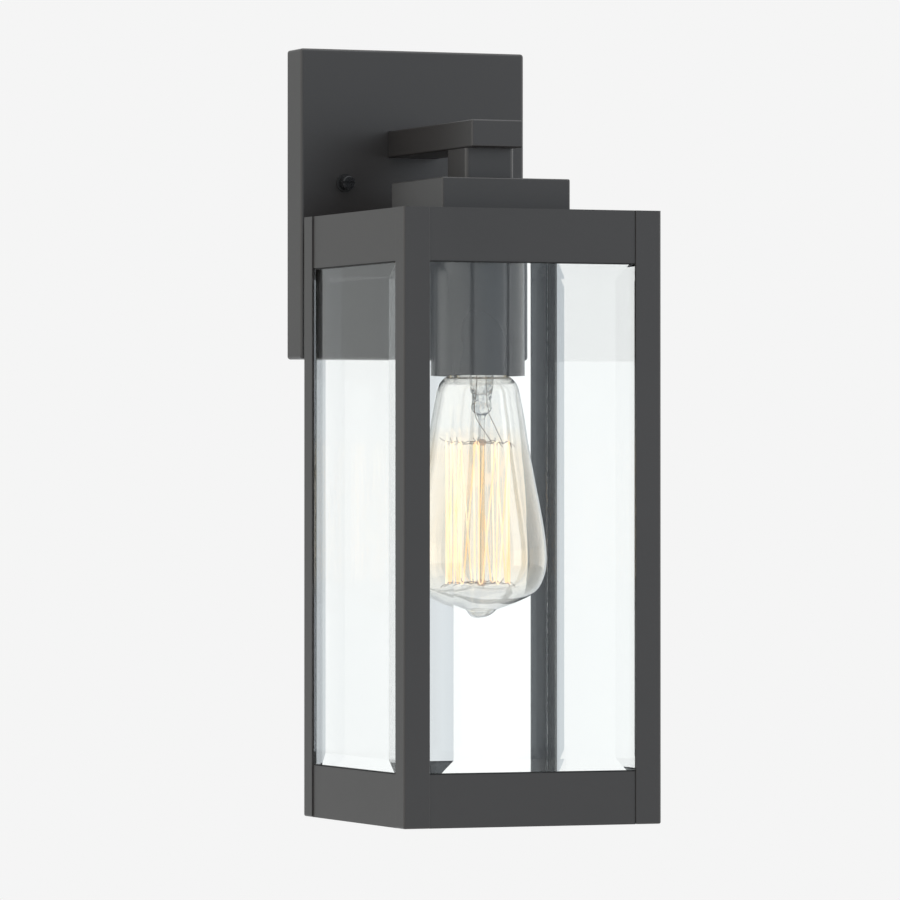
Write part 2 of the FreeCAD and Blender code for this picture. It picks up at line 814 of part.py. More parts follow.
def make_glass_holders():
    length = d.cage_side - d.post_leg * 2
    clips = []
    for turn, side in enumerate(SIDES):
        owner = body(f"glass_channel_{side}")
        section = sketch(owner, "YZ_Plane")
        add_polygon(section, clip_outline(glass_bottom, -1.0))
        pad(owner, section, length, symmetric=True)
        keep(on_axis(owner, turn * 90.0), f"glass_channel_{side}")
        for along in (-1, 1):
            clip = body(f"clip_{side}_{'left' if along < 0 else 'right'}")
            section = sketch(clip, "YZ_Plane", lift=d.clip_spacing / 2 * along)
            add_polygon(section, clip_outline(glass_top, 1.0))
            pad(clip, section, d.clip_width, symmetric=True)
            clips.append(on_axis(clip, turn * 90.0))
    group("glass_clips", clips)


# ---------------------------------------------------------------- nipple, socket cover and lampholder

def make_nipple():
    tube = cylinder("nipple_tube", d.nipple_radius, nipple_top - nipple_bottom, 0.0, axis_y, nipple_bottom)
    bore = cylinder("nipple_bore", d.nipple_bore, nipple_top - nipple_bottom, 0.0, axis_y, nipple_bottom)
    keep(cut("nipple_whole", tube, bore), "threaded_nipple")
    nuts = []
    seats = {"upper": d.arm_bottom + d.arm_wall, "lower": roof_bottom - d.cover_wall - d.nipple_nut_thick}
    for word, seat in seats.items():
        blank = hex_prism(f"nipple_hex_{word}", d.nipple_nut_across, d.nipple_nut_thick, 0.0, axis_y, seat)
        hole = cylinder(f"nipple_hex_hole_{word}", nipple_thread, d.nipple_nut_thick, 0.0, axis_y, seat)
        nuts.append(cut(f"nipple_nut_{word}", blank, hole))
    group("nipple_nuts", nuts)


def make_socket_cover():
    wall = d.cover_wall
    points = [
        (nipple_hole, roof_bottom), (cover_radius, roof_bottom), (cover_radius, cover_bottom),
        (cover_radius - wall, cover_bottom), (cover_radius - wall, roof_bottom - wall),
        (nipple_hole, roof_bottom - wall),
    ]
    keep(lathe("socket_cover", points, 0.0, axis_y), "socket_cover")


def make_lampholder():
    """The porcelain body, bored for the screw shell and recessed for the leads."""
    blank = lathe("lampholder_blank", [
        (recess_radius, holder_top), (holder_radius, holder_top), (holder_radius, holder_bottom),
        (holder_bore, holder_bottom), (holder_bore, bore_top), (0.0, bore_top),
        (0.0, holder_top - d.recess_depth), (recess_radius, holder_top - d.recess_depth),
    ], 0.0, axis_y)
    depth = d.bracket_screw_length + d.bracket_hole_spare
    holes = bracket_screw_holes("holder", holder_top - depth, depth)
    keep(cut("lampholder_whole", blank, *holes), "lampholder_body")


def make_bracket():
    """The disc and collar that hang the lampholder from the nipple, and their two screws."""
    disc = lathe("bracket_blank", [
        (recess_radius, holder_top), (bracket_radius, holder_top), (bracket_radius, bracket_top),
        (collar_radius, bracket_top), (collar_radius, bracket_top + d.collar_height),
        (nipple_thread, bracket_top + d.collar_height), (nipple_thread, nipple_bottom),
        (recess_radius, nipple_bottom),
    ], 0.0, axis_y)
    holes = bracket_screw_holes("bracket", holder_top, d.bracket_thick)
    keep(cut("bracket_whole", disc, *holes), "lampholder_bracket")

    screws = []
    length = d.bracket_screw_length
    for side, word in ((-1, "front"), (1, "rear")):
        y = axis_y + bracket_screw_offset * side
        shank = cylinder(f"shank_{word}", d.bracket_screw_radius, length, 0.0, y, bracket_top - length)
        head = cylinder(f"head_{word}", d.bracket_head_radius, d.bracket_head_height, 0.0, y, bracket_top)
        screws.append(fuse(f"holder_screw_{word}", shank, head))
    group("bracket_screws", screws)


def bracket_screw_holes(word, low, height):
    radius = d.bracket_screw_radius + d.thread_gap
    return [
        cylinder(f"{word}_hole{number}", radius, height, 0.0, axis_y + bracket_screw_offset * side, low)
        for number, side in enumerate((-1, 1))
    ]


def make_tongue():
    """The brass centre contact: a flat foot on the bore's end, and a leaf bent down to the lamp."""
    foot = bore_top
    thick = d.tongue_thick
    leaf = contact_top + d.tongue_gap
    outline = [
        (-d.tongue_foot_end, foot), (-d.tongue_foot_end, foot - thick), (-d.tongue_foot_bend, foot - thick),
        (-d.tongue_leaf_bend, leaf), (d.tongue_leaf_end, leaf), (d.tongue_leaf_end, leaf + thick),
        (thick - d.tongue_leaf_bend, leaf + thick), (thick - d.tongue_foot_bend, foot),
    ]
    owner = body("tongue")
    section = sketch(owner, "XZ_Plane")
    add_polygon(section, outline)
    pad(owner, section, d.tongue_width, symmetric=True)
    keep(on_axis(owner), "centre_contact")


def ridged_curve(mean, low):
    """One smooth curve up a ridged wall: its radius rises and falls once each turn of the thread."""
    swing = d.thread_depth.number / 2
    step = d.thread_pitch.number / RIDGE_POINTS
    points = []
    for number in range(round(d.thread_turns.number * RIDGE_POINTS) + 1):
        angle = 2 * math.pi * number / RIDGE_POINTS
        points.append(FreeCAD.Vector(mean + swing * math.cos(angle), 0, low + step * number))
    curve = Part.BSplineCurve()
    curve.interpolate(points)
    return curve.toShape()


def ridged_shell(outer_mean, inner_mean, low):
    """A thin wall whose two faces ripple together, turned about the lamp's axis."""
    outer = ridged_curve(outer_mean, low)
    inner = ridged_curve(inner_mean, low)
    ends = [
        Part.LineSegment(outer.Vertexes[0].Point, inner.Vertexes[0].Point).toShape(),
        Part.LineSegment(outer.Vertexes[-1].Point, inner.Vertexes[-1].Point).toShape(),
    ]
    face = Part.Face(Part.Wire(Part.__sortEdges__([outer, inner] + ends)))
    return face.revolve(FreeCAD.Vector(0, 0, 0), FreeCAD.Vector(0, 0, 1), 360)


def make_screw_shell():
    inner_mean = shell_crest - d.thread_depth / 2
    outer_mean = inner_mean + d.shell_wall
    shape = ridged_shell(outer_mean.number, inner_mean.number, shell_bottom.number)
    set_shape("screw_shell", shape, y=axis_y)


# ---------------------------------------------------------------- bulb

def make_bulb_base():
    outer_mean = d.thread_crest - d.thread_depth / 2
    inner_mean = outer_mean - d.shell_wall
    low = base_top - d.thread_turns * d.thread_pitch
    shape = ridged_shell(outer_mean.number, inner_mean.number, low.number)
    set_shape("bulb_base", shape, y=axis_y)


def make_bulb_end():
    """The dark glass insulator that closes the base, and the solder contact on its end."""
    top = contact_top - d.contact_height
    seat = top - d.thread_gap
    plug_end = base_top - d.insulator_plug
    rim = d.thread_crest - d.insulator_rim_gap
    plug = d.thread_crest - d.shell_wall - d.thread_gap - d.thread_depth
    owner = lathe("bulb_insulator", [
        (0.0, plug_end), (plug, plug_end), (plug, base_top), (rim, base_top),
        (d.contact_radius + d.insulator_crown, top - d.insulator_crown_drop), (d.contact_radius, seat),
        (0.0, seat),
    ], 0.0, axis_y)
    keep(owner, "bulb_insulator")
    owner = lathe("bulb_contact", [
        (0.0, top), (d.contact_radius, top), (d.contact_shoulder, top + d.contact_height * 0.7),
        (d.contact_face, contact_top), (0.0, contact_top),
    ], 0.0, axis_y)
    keep(owner, "bulb_contact")


def envelope_curve():
    """The envelope's side as one smooth curve, from the shoulder below the base round to the sealed tip."""
    top = contact_top.number
    long = d.bulb_length.number
    wide = d.bulb_radius.number
    shoulder = d.bulb_shoulder.number
    swell = wide - shoulder
    points = [
        (shoulder, 0.203), (shoulder + swell * 0.15, 0.292), (shoulder + swell * 0.385, 0.413),
        (shoulder + swell * 0.65, 0.559), (shoulder + swell * 0.96, 0.736), (wide, 0.797),
        (wide * 0.97, 0.854), (wide * 0.825, 0.913), (wide * 0.53, 0.949), (wide * 0.3, 0.965),
    ]
    places = [FreeCAD.Vector(radius, 0, top - long * share) for radius, share in points]
    places.append(FreeCAD.Vector(wide * 0.155, 0, top - long + d.bulb_tip.number))
    curve = Part.BSplineCurve()
    slopes = [FreeCAD.Vector(0.1, 0, -1), FreeCAD.Vector(-1, 0, -0.35)]
    curve.interpolate(places, InitialTangent=slopes[0], FinalTangent=slopes[1])
    return curve


def moved_inwards(curve, wall, count=24):
    """A curve one wall's thickness inside another one."""
    first, last = curve.FirstParameter, curve.LastParameter
    places = []
    for number in range(count + 1):
        where = first + (last - first) * number / count
        along = curve.tangent(where)[0]
        places.append(curve.value(where) + FreeCAD.Vector(along.z, 0, -along.x) * wall)
    inner = Part.BSplineCurve()
    inner.interpolate(places)
    return inner


def line(start, end):
    return Part.LineSegment(start, end).toShape()


def make_envelope():
    """The glass envelope: one outline of its wall, turned about the lamp's axis."""
    wall = d.bulb_glass_wall.number
    outer = envelope_curve()
    inner = moved_inwards(outer, wall)
    neck_top = contact_top.number - d.neck_start.number
    neck_low = contact_top.number - d.neck_end.number
    neck = bulb_neck.number
    tip = bulb_bottom.number
    shoulder_out, tip_out = outer.StartPoint, outer.EndPoint
    shoulder_in, tip_in = inner.StartPoint, inner.EndPoint
    corners = [
        FreeCAD.Vector(neck - wall, 0, neck_low), FreeCAD.Vector(neck - wall, 0, neck_top),
        FreeCAD.Vector(neck, 0, neck_top), FreeCAD.Vector(neck, 0, neck_low),
    ]
    lowest = FreeCAD.Vector(0, 0, tip)
    floor = FreeCAD.Vector(0, 0, tip_in.z - wall * 0.3)
    ball = (tip_out.x ** 2 + (tip_out.z - tip) ** 2) / (tip_out.z - tip) / 2
    lean = math.asin(tip_out.x / ball) / 2
    halfway = FreeCAD.Vector(ball * math.sin(lean), 0, tip + ball - ball * math.cos(lean))
    nose = Part.Arc(tip_out, halfway, lowest)
    edges = [line(shoulder_in, corners[0])]
    edges += [line(corners[number], corners[number + 1]) for number in range(3)]
    edges += [line(corners[3], shoulder_out), outer.toShape(), nose.toShape()]
    edges += [line(lowest, floor), line(floor, tip_in), inner.toShape()]
    face = Part.Face(Part.Wire(Part.__sortEdges__(edges)))
    shape = face.revolve(FreeCAD.Vector(0, 0, 0), FreeCAD.Vector(0, 0, 1), 360)
    set_shape("bulb_glass", shape, y=axis_y)


def make_stem():
    """The glass mount inside the bulb: a flare, a tube that ends in the press, and a long rod."""
    wall = d.stem_wall
    wide = bulb_neck - d.bulb_glass_wall - d.thread_gap
    flare_end = stem_flare_top - d.stem_flare
    rod_end = hooks_lower - wall
    bore = d.stem_radius - wall
    press_waist = d.rod_radius * 2.2
    owner = lathe("bulb_stem", [
        (wide, stem_flare_top), (wide, stem_flare_top - wall), (d.stem_radius, flare_end),
        (d.stem_radius, stem_end), (press_waist, (stem_end + press_end) / 2), (d.rod_radius, press_end),
        (d.rod_radius, rod_end), (0.0, rod_end), (0.0, stem_end - wall), (bore, stem_end + wall * 2),
        (bore, flare_end + wall / 2), (wide - wall, stem_flare_top),
    ], 0.0, axis_y)
    keep(owner, "bulb_stem")


def rod(start, end, radius):
    """A round wire between two points."""
    along = end - start
    return Part.makeCylinder(radius, along.Length, start, along)


def around(radius, angle, height):
    return FreeCAD.Vector(radius * math.cos(angle), radius * math.sin(angle), height)


def make_filament():
    """A squirrel cage: one zigzag of straight strands, hung between two rings of hooks."""
    hooks = int(d.filament_strands.number) // 2
    step = 2 * math.pi / hooks
    radius = d.filament_radius.number
    wire = d.filament_wire.number
    upper, lower = hooks_upper.number, hooks_lower.number
    aside = (wire + d.hook_wire.number + d.wire_gap.number) / radius
    strands = []
    for number in range(hooks):
        top, low = number * step, (number + 0.5) * step
        for side in (1, -1):
            high_end = around(radius, top + aside * side, upper)
            low_end = around(radius, top + (low - top - aside) * side, lower)
            strands.append(rod(high_end, low_end, wire))
    set_shape("bulb_filament", Part.makeCompound(strands), y=axis_y)

    hook_radius = d.hook_wire.number
    start = d.rod_radius.number + d.thread_gap.number
    wires = []
    for height, shift in ((upper, 0.0), (lower, 0.5)):
        for number in range(hooks):
            angle = (number + shift) * step
            wires.append(rod(around(start, angle, height), around(radius, angle, height), hook_radius))
    set_shape("bulb_hooks", Part.makeCompound(wires), y=axis_y)


def make_bulb_leads():
    """Lead wires: inside the hollow stem from the base, and below the press out to the filament."""
    radius = d.bulb_lead_wire.number
    base = base_top.number - d.insulator_plug.number
    inside_end = stem_end.number + 2 * d.stem_wall.number + d.wire_gap.number * 2
    press = stem_end.number - d.press_length.number * 0.75
    press_side = d.rod_radius.number * 1.6 + radius
    reach = d.filament_radius.number - 4 * radius
    wires = []
    for side in (-1, 1):
        x = d.bulb_lead_apart.number / 2 * side
        wires.append(rod(FreeCAD.Vector(x, 0, base), FreeCAD.Vector(x, 0, inside_end), radius))
        start = FreeCAD.Vector(press_side * side, 1.2, press)
        end = FreeCAD.Vector(reach * side, 0.9, hooks_upper.number + 1.0)
        wires.append(rod(start, end, radius))
    set_shape("bulb_leads", Part.makeCompound(wires), y=axis_y)


# ---------------------------------------------------------------- leads

def round_path(points, radii):
    """Straight runs joined by tangent arcs, one radius for each point between the ends."""
    edges = []
    start = points[0]
    for index, radius in enumerate(radii, start=1):
        corner = points[index]
        before = (corner - points[index - 1]).normalize()
        after = (points[index + 1] - corner).normalize()
        turn = before.getAngle(after)
        reach = radius * math.tan(turn / 2)
        arc_start = corner - before * reach
        arc_end = corner + after * reach
        inwards = (after - before).normalize()
        middle = corner + inwards * (radius / math.cos(turn / 2) - radius)
        edges.append(line(start, arc_start))
        edges.append(Part.Arc(arc_start, middle, arc_end).toShape())
        start = arc_end
    edges.append(line(start, points[-1]))
    return Part.Wire(edges)


def tube_along(name, points, radii, radius):
    path = round_path([FreeCAD.Vector(*point) for point in points], radii)
    start, along = FreeCAD.Vector(*points[0]), FreeCAD.Vector(*points[1]) - FreeCAD.Vector(*points[0])
    ring = Part.Wire([Part.Circle(start, along, radius).toShape()])
    shape = path.makePipeShell([ring], True, False)
    expected = math.pi * radius ** 2 * path.Length
    if abs(shape.Volume - expected) > expected * 0.01:
        raise RuntimeError(f"{name} has lost its section")
    print(f"{name}: {path.Length:.1f} mm long, bends {', '.join(f'{bend:.1f}' for bend in radii)} mm")
    set_shape(name, shape)


def make_leads():
    """Two leads run from the lampholder up the nipple and back along the arm to their connectors."""
    radius = d.lead_radius.number
    bend = radius * 4
    last_bend = radius * 4.8
    slight_bend = 60.0
    axis = axis_y.number
    start = holder_top.number - d.recess_depth.number
    rise = nipple_top.number + bend
    middle = (d.arm_bottom + d.arm_height / 2).number
    behind = plate_back.number
    drop = behind / 2
    mouth = d.arm_bottom.number + d.arm_height.number + d.doubler_margin.number
    end = mouth + d.connector_length.number * d.connector_bore_share.number
    apart = d.connector_radius.number * 1.25
    for side, word in ((-1, "live"), (1, "neutral")):
        near_x = d.lead_pitch.number / 2 * side
        far_x = apart * side
        points = [
            (near_x, axis, start), (near_x, axis, rise), (near_x * 2, axis + 44.0, middle - 0.8),
            (far_x, behind - 9.0, middle), (far_x, drop, middle), (far_x, drop, end),
        ]
        tube_along(f"lead_{word}", points, [bend, slight_bend, slight_bend, last_bend], radius)
    ground_x = apart + d.connector_radius.number * 2.1
    points = [(ground_x, behind, middle), (ground_x, drop, middle), (ground_x, drop, end)]
    tube_along("lead_ground", points, [last_bend], radius)
    connectors = []
    for number, x in enumerate((-apart, apart, ground_x), start=1):
        connectors.append(make_connector(f"connector_{number}", x, drop, mouth, end))
    group("wire_connectors", connectors)


def make_connector(name, x, y, mouth, end):
    """A tapered screw-on wire connector, with a lead's end inside it."""
    wide = d.connector_radius
    bore = d.lead_radius + d.thread_gap
    top = d.connector_length + mouth
    return lathe(name, [
        (bore, mouth), (wide, mouth), (wide - d.connector_mouth_taper, d.connector_lip + mouth),
        (d.connector_end_radius, top), (0.0, top), (0.0, end), (bore, end),
    ], x, y)


# ---------------------------------------------------------------- build, check and write

def make_lantern():
    make_backplate()
    make_gasket()
    make_strap()
    make_wall_fixings()
    make_ground_screw()
    make_arm()
    make_arm_doubler()
    make_neck()
    make_cap()
    make_roof()
    make_posts()
    make_rails()
    make_glass()
    make_glass_holders()
    make_nipple()
    make_socket_cover()
    make_lampholder()
    make_bracket()
    make_tongue()
    make_screw_shell()
    make_bulb_base()
    make_bulb_end()
    make_envelope()
    make_stem()
    make_filament()
    make_bulb_leads()
    make_leads()
    DOC.recompute()


def check_objects():
    for thing in DOC.Objects:
        if "Invalid" in thing.State or "Error" in thing.State:
            raise RuntimeError(f"{thing.Name} ({thing.Label}) failed: {thing.State}")
    for thing in SUBPARTS:
        if thing.Shape.isNull() or not thing.Shape.isValid():
            raise RuntimeError(f"{thing.Label} has no valid shape")
        if not thing.Shape.Solids:
            raise RuntimeError(f"{thing.Label} has no solid")


def write_parts():
    os.makedirs("parts", exist_ok=True)
    for thing in SUBPARTS:
        thing.Shape.exportStep(os.path.join("parts", f"{thing.Label}.step"))
    print(f"{len(SUBPARTS)} sub-parts written")


make_lantern()
check_objects()
write_parts()
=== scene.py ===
"""Looks of the outdoor wall lantern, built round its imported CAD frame. Metres, +Z up, the front faces -Y."""
import json
import math
import random

import bmesh
import bpy
from mathutils import Matrix, Vector, noise


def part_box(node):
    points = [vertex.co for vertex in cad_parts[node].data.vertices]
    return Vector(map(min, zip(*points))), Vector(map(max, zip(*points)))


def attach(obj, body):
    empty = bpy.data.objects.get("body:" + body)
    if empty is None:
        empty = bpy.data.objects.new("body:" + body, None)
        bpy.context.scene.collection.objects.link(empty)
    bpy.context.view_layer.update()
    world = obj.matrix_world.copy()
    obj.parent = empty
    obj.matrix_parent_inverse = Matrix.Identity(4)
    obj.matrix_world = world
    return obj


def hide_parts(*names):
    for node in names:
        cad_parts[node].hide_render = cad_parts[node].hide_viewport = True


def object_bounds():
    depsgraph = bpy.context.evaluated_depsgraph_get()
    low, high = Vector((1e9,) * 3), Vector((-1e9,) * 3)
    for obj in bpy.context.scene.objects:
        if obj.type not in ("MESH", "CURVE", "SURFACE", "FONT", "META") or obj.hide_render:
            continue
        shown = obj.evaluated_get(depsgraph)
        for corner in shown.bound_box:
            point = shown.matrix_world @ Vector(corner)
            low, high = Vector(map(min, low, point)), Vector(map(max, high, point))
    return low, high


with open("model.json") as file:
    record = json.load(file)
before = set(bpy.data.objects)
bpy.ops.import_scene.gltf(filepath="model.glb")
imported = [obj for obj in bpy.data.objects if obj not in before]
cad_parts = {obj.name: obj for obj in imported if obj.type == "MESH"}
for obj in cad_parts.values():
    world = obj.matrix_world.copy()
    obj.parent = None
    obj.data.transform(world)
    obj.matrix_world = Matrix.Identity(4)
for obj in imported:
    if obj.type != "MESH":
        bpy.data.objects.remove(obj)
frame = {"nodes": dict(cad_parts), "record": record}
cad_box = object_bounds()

MM = 0.001
NODES = frame["nodes"]

# The lamp hangs about this upright line, and its heights are measured down from the contact on its end.
LAMP_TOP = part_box("bulb_contact")[1][2]
LAMP_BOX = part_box("bulb_glass")
LAMP_AXIS = Vector(((LAMP_BOX[0][0] + LAMP_BOX[1][0]) / 2, (LAMP_BOX[0][1] + LAMP_BOX[1][1]) / 2, 0.0))
HOOKS_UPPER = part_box("bulb_filament")[1][2]
HOOKS_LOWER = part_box("bulb_filament")[0][2]

# The photograph's viewpoint: a long lens, from the left and a little below the lamp's middle.
CAMERA_PLACE = Vector((-1.115, -2.7979, -0.1467))
CAMERA_AZIMUTH = 22.19
CAMERA_PITCH = 0.3875
CAMERA_LENS = 251.69

BACKGROUND = 0.913
FLOOR_DROP = 1.0
FLOOR_RADIUS = 12.0


# ---------------------------------------------------------------- studio

def make_camera():
    data = bpy.data.cameras.new("camera")
    data.lens = CAMERA_LENS
    data.sensor_width = 36.0
    data.clip_end = 60.0
    camera = bpy.data.objects.new("camera", data)
    camera.location = CAMERA_PLACE
    camera.rotation_euler = (math.radians(90 + CAMERA_PITCH), 0.0, math.radians(-CAMERA_AZIMUTH))
    bpy.context.scene.collection.objects.link(camera)
    bpy.context.scene.camera = camera


def make_softbox(name, place, aim, width, height, watts, colour=(1.0, 1.0, 1.0)):
    data = bpy.data.lights.new(name, "AREA")
    data.shape = "RECTANGLE"
    data.size = width
    data.size_y = height
    data.energy = watts
    data.color = colour
    light = bpy.data.objects.new(name, data)
    light.location = place
    light.rotation_euler = (Vector(aim) - Vector(place)).to_track_quat("-Z", "Y").to_euler()
    bpy.context.scene.collection.objects.link(light)
    return light


# Brightness of the surroundings by direction: degrees from +Y towards +X, then linear red, green and blue.
SURROUNDINGS = [
    (-180.0, (0.61, 0.67, 0.73)),
    (-100.0, (1.15, 1.15, 1.12)),
    (-56.0, (1.40, 1.40, 1.36)),
    (-42.0, (0.52, 0.54, 0.54)),
    (4.0, (0.56, 0.58, 0.58)),
    (9.0, (1.14, 1.14, 1.14)),
    (24.2, (1.14, 1.14, 1.14)),
    (25.0, (0.57, 0.61, 0.65)),
    (45.0, (0.78, 0.80, 0.82)),
    (70.0, (1.20, 1.20, 1.18)),
    (105.0, (0.90, 0.92, 0.94)),
    (150.0, (0.70, 0.76, 0.82)),
    (180.0, (0.61, 0.67, 0.73)),
]
BRIGHTEST = 1.4


def make_world():
    """Soft surroundings with a bright screen behind the lantern, on a plain pale background."""
    world = bpy.data.worlds.new("studio")
    bpy.context.scene.world = world
    world.use_nodes = True
    tree = world.node_tree
    tree.nodes.clear()
    coords = tree.nodes.new("ShaderNodeTexCoord")
    split = tree.nodes.new("ShaderNodeSeparateXYZ")
    tree.links.new(coords.outputs["Generated"], split.inputs[0])
    azimuth = tree.nodes.new("ShaderNodeMath")
    azimuth.operation = "ARCTAN2"
    tree.links.new(split.outputs["X"], azimuth.inputs[0])
    tree.links.new(split.outputs["Y"], azimuth.inputs[1])
    turn = tree.nodes.new("ShaderNodeMapRange")
    turn.inputs["From Min"].default_value = -math.pi
    turn.inputs["From Max"].default_value = math.pi
    tree.links.new(azimuth.outputs[0], turn.inputs["Value"])
    ramp = tree.nodes.new("ShaderNodeValToRGB")
    tree.links.new(turn.outputs[0], ramp.inputs[0])
    stops = ramp.color_ramp.elements
    while len(stops) < len(SURROUNDINGS):
        stops.new(0.5)
    for stop, (degrees, colour) in zip(stops, SURROUNDINGS):
        stop.position = degrees / 360.0 + 0.5
        stop.color = (*[part / BRIGHTEST for part in colour], 1.0)
    around = tree.nodes.new("ShaderNodeBackground")
    tree.links.new(ramp.outputs[0], around.inputs["Color"])
    around.inputs["Strength"].default_value = BRIGHTEST
    plain = tree.nodes.new("ShaderNodeBackground")
    plain.inputs["Color"].default_value = (BACKGROUND, BACKGROUND, BACKGROUND, 1.0)
    seen = tree.nodes.new("ShaderNodeLightPath")
    mix = tree.nodes.new("ShaderNodeMixShader")
    tree.links.new(seen.outputs["Is Camera Ray"], mix.inputs[0])
    tree.links.new(around.outputs[0], mix.inputs[1])
    tree.links.new(plain.outputs[0], mix.inputs[2])
    out = tree.nodes.new("ShaderNodeOutputWorld")
    tree.links.new(mix.outputs[0], out.inputs["Surface"])


def make_floor():
    mesh = bpy.data.meshes.new("floor")
    shape = bmesh.new()
    bmesh.ops.create_circle(shape, cap_ends=True, segments=96, radius=FLOOR_RADIUS)
    shape.to_mesh(mesh)
    shape.free()
    floor = bpy.data.objects.new("floor", mesh)
    floor.location = (0.0, 0.0, cad_box[0][2] - FLOOR_DROP)
    bpy.context.scene.collection.objects.link(floor)
    paint = Paint("floor_paint")
    colour = paint.blend(paint.noise(3.0), (0.80, 0.80, 0.80), (0.83, 0.83, 0.83))
    paint.principled({"Base Color": colour, "Roughness": 0.8})
    mesh.materials.append(paint.material)


# ---------------------------------------------------------------- materials

class Paint:
    """A node material and the few kinds of node that the finishes below are made of."""

    def __init__(self, name):
        self.material = bpy.data.materials.new(name)
        self.material.use_nodes = True
        self.tree = self.material.node_tree
        self.tree.nodes.clear()
        self.output = self.tree.nodes.new("ShaderNodeOutputMaterial")
        self.place = self.add("TexCoord", {}).outputs["Object"]

    def add(self, kind, inputs, **settings):
        node = self.tree.nodes.new("ShaderNode" + kind)
        for key, value in settings.items():
            setattr(node, key, value)
        for key, value in inputs.items():
            self.put(node.inputs[key], value)
        return node

    def put(self, socket, value):
        if isinstance(value, bpy.types.NodeSocket):
            self.tree.links.new(value, socket)
        elif isinstance(value, tuple) and len(value) == 3 and socket.type == "RGBA":
            socket.default_value = (*value, 1.0)
        else:
            socket.default_value = value

    def noise(self, scale, detail=2.0, stretch=(1.0, 1.0, 1.0)):
        """Noise of so many features a metre, from 0 to 1, stretched along an axis where its factor is small."""
        where = self.add("Mapping", {"Vector": self.place, "Scale": stretch}).outputs[0]
        return self.add("TexNoise", {"Vector": where, "Scale": scale, "Detail": detail}).outputs[0]

    def spread(self, factor, low, high, start=0.3, end=0.7):
        """A number from low to high as the factor goes from start to end."""
        limits = {"Value": factor, "From Min": start, "From Max": end, "To Min": low, "To Max": high}
        return self.add("MapRange", limits).outputs[0]

    def blend(self, factor, low, high, start=0.3, end=0.7):
        """A colour from low to high as the factor goes from start to end."""
        ramp = self.add("ValToRGB", {"Fac": factor})
        for stop, place, colour in zip(ramp.color_ramp.elements, (start, end), (low, high)):
            stop.position = place
            stop.color = (*colour, 1.0)
        return ramp.outputs[0]

    def bump(self, height, depth, under=None):
        """Relief so many metres deep, on top of another relief."""
        inputs = {"Height": height, "Distance": depth, "Strength": 1.0}
        if under is not None:
            inputs["Normal"] = under
        return self.add("Bump", inputs).outputs[0]

    def principled(self, inputs):
        shader = self.add("BsdfPrincipled", inputs)
        self.tree.links.new(shader.outputs[0], self.output.inputs["Surface"])
        return shader

    def clear_to_lamps(self, shader):
        """Let lamps light what is behind the glass."""
        open_way = self.add("BsdfTransparent", {"Color": (0.93, 0.95, 0.95)})
        is_shadow = self.add("LightPath", {}).outputs["Is Shadow Ray"]
        mix = self.add("MixShader", {0: is_shadow, 1: shader.outputs[0], 2: open_way.outputs[0]})
        self.tree.links.new(mix.outputs[0], self.output.inputs["Surface"])


def charcoal_paint():
    """Fine-textured powder coat: a soft orange peel with a grain on it."""
    paint = Paint("charcoal_paint")
    cloud = paint.noise(14.0, 4.0)
    peel = paint.noise(700.0, 2.0)
    grain = paint.noise(4200.0, 3.0)
    colour = paint.blend(cloud, (0.0225, 0.0195, 0.0180), (0.0265, 0.0230, 0.0215))
    relief = paint.bump(grain, 0.006 * MM, paint.bump(peel, 0.008 * MM))
    paint.principled({"Base Color": colour, "Roughness": paint.spread(grain, 0.28, 0.38), "Normal": relief,
                      "Specular IOR Level": 0.8})
    return paint.material


def smooth_charcoal():
    """The same colour laid thinner and glossier on the spun socket cover."""
    paint = Paint("smooth_charcoal")
    peel = paint.noise(300.0, 2.0)
    colour = paint.blend(paint.noise(14.0, 4.0), (0.0225, 0.0205, 0.0195), (0.0265, 0.0240, 0.0230))
    paint.principled({"Base Color": colour, "Roughness": paint.spread(peel, 0.14, 0.20),
                      "Normal": paint.bump(peel, 0.004 * MM), "Specular IOR Level": 0.8})
    return paint.material


def black_nuts():
    paint = Paint("black_nuts")
    grain = paint.noise(2500.0, 3.0)
    colour = paint.blend(paint.noise(300.0), (0.010, 0.010, 0.011), (0.020, 0.020, 0.021))
    paint.principled({"Base Color": colour, "Roughness": paint.spread(grain, 0.22, 0.36),
                      "Normal": paint.bump(grain, 0.01 * MM)})
    return paint.material


def pane_glass():
    """Clear plate glass with the faintest waves in its faces."""
    paint = Paint("pane_glass")
    colour = paint.blend(paint.noise(9.0), (0.975, 0.990, 0.985), (0.985, 0.995, 0.992))
    relief = paint.bump(paint.noise(30.0, 1.0), 0.002 * MM)
    shader = paint.add("BsdfPrincipled", {"Base Color": colour, "Roughness": 0.0, "IOR": 1.5,
                                          "Transmission Weight": 1.0, "Normal": relief})
    paint.clear_to_lamps(shader)
    return paint.material


